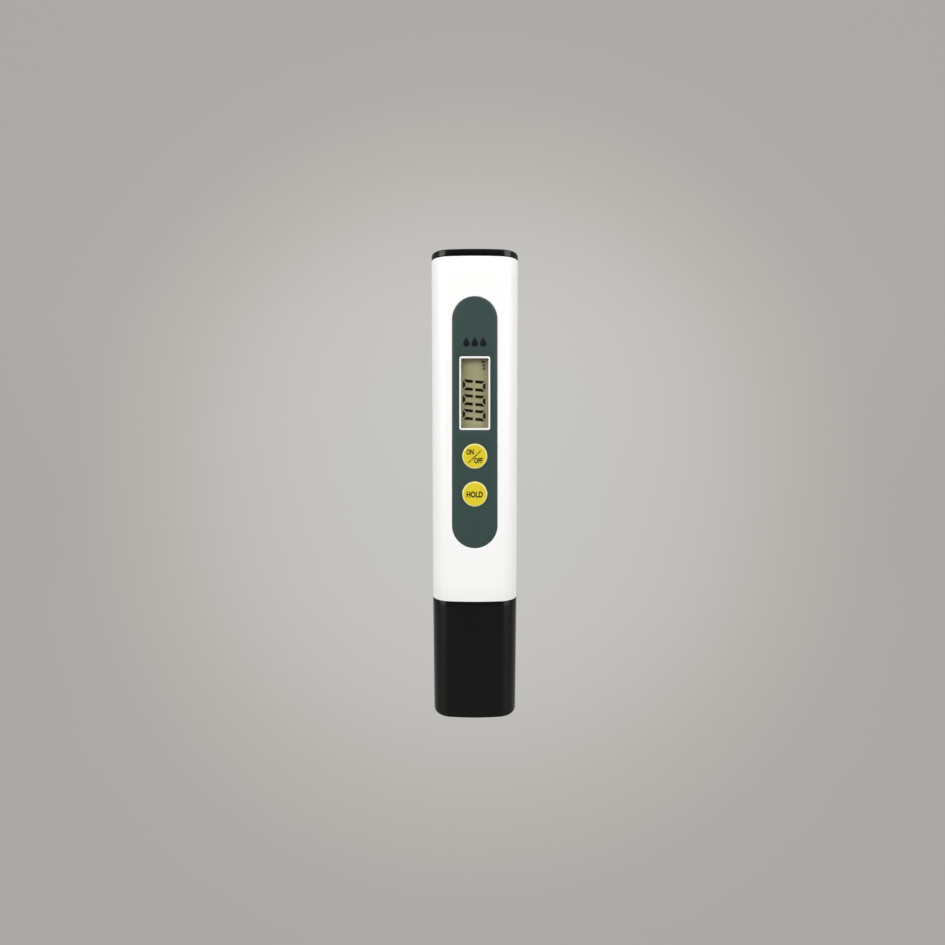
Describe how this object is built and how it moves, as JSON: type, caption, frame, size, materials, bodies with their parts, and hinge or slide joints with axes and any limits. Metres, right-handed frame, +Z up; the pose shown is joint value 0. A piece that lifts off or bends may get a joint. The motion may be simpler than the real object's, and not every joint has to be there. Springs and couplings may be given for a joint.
{
  "type": "tds meter pen",
  "caption": "Handheld conductivity pen: tapered oval housing, small display, push buttons, probe under a pull-off cap, top battery cover.",
  "frame": {"origin": "middle of the flat end of the probe cap, on which the pen stands", "axes": "+Z up along the pen from the probe cap to the battery cover; the display faces -Y; +X to the right of the front"},
  "size_m": [0.0294, 0.0143, 0.154],
  "materials": {
    "white_abs": "gloss",
    "slate_panel": "satin",
    "clear_acrylic": "polished",
    "lcd_glass": "polished",
    "reflector_foil": "matt",
    "inner_white_plastic": "satin",
    "silicone_rubber": "matt",
    "board_laminate": "satin",
    "epoxy_blob": "satin",
    "chip_ceramic": "matt",
    "switch_case": "matt",
    "yellow_abs": "satin",
    "trimmer_blue": "satin",
    "brass": "machined",
    "cell_steel": "satin",
    "spring_contact": "plated",
    "probe_plastic": "satin",
    "electrode_metal": "polished",
    "solder": "satin",
    "black_abs": "gloss"
  },
  "bodies": {
    "meter_body": {"housing": "white_abs", "front_panel": "slate_panel", "display_window": "clear_acrylic", "lcd_glass": "lcd_glass", "lcd_reflector": "reflector_foil", "lcd_holder": "inner_white_plastic", "zebra_strips": "silicone_rubber", "circuit_board": "board_laminate", "chip_blob": "epoxy_blob", "resistors": "chip_ceramic", "capacitors": "chip_ceramic", "power_switch": "switch_case", "hold_switch": "switch_case", "trimmer_body": "trimmer_blue", "battery_holder": "inner_white_plastic", "cell_left": "cell_steel", "cell_right": "cell_steel", "contact_positive": "spring_contact", "contact_negative": "spring_contact", "contact_bridge": "spring_contact", "electrode_block": "probe_plastic", "electrode_left": "electrode_metal", "electrode_right": "electrode_metal", "thermistor": "epoxy_blob", "solder_joints": "solder", "probe_seal": "silicone_rubber"},
    "probe_cap": {"probe_cap": "black_abs"},
    "battery_cover": {"battery_cover": "black_abs"},
    "power_button": {"power_button": "yellow_abs", "power_switch_plunger": "switch_case"},
    "hold_button": {"hold_button": "yellow_abs", "hold_switch_plunger": "switch_case"},
    "trimmer_rotor": {"trimmer_rotor": "brass"}
  },
  "joints": [
    {"name": "probe_cap_pull", "type": "slide", "parent": "meter_body", "child": "probe_cap", "axis": [0, 0, -1], "range_m": [0, 0.034]},
    {"name": "battery_cover_pull", "type": "slide", "parent": "meter_body", "child": "battery_cover", "axis": [0, 0, 1], "range_m": [0, 0.014]},
    {"name": "power_button_press", "type": "slide", "parent": "meter_body", "child": "power_button", "axis": [0, 1, 0], "range_m": [0, 0.0004], "stiffness_N_per_m": 1500, "springref_m": -0.0003},
    {"name": "hold_button_press", "type": "slide", "parent": "meter_body", "child": "hold_button", "axis": [0, 1, 0], "range_m": [0, 0.0004], "stiffness_N_per_m": 1500, "springref_m": -0.0003},
    {"name": "trimmer_turn", "type": "hinge", "parent": "meter_body", "child": "trimmer_rotor", "pos_m": [0, 0.003, 0.064], "axis": [0, 1, 0], "range_deg": [-120, 120]}
  ]
}
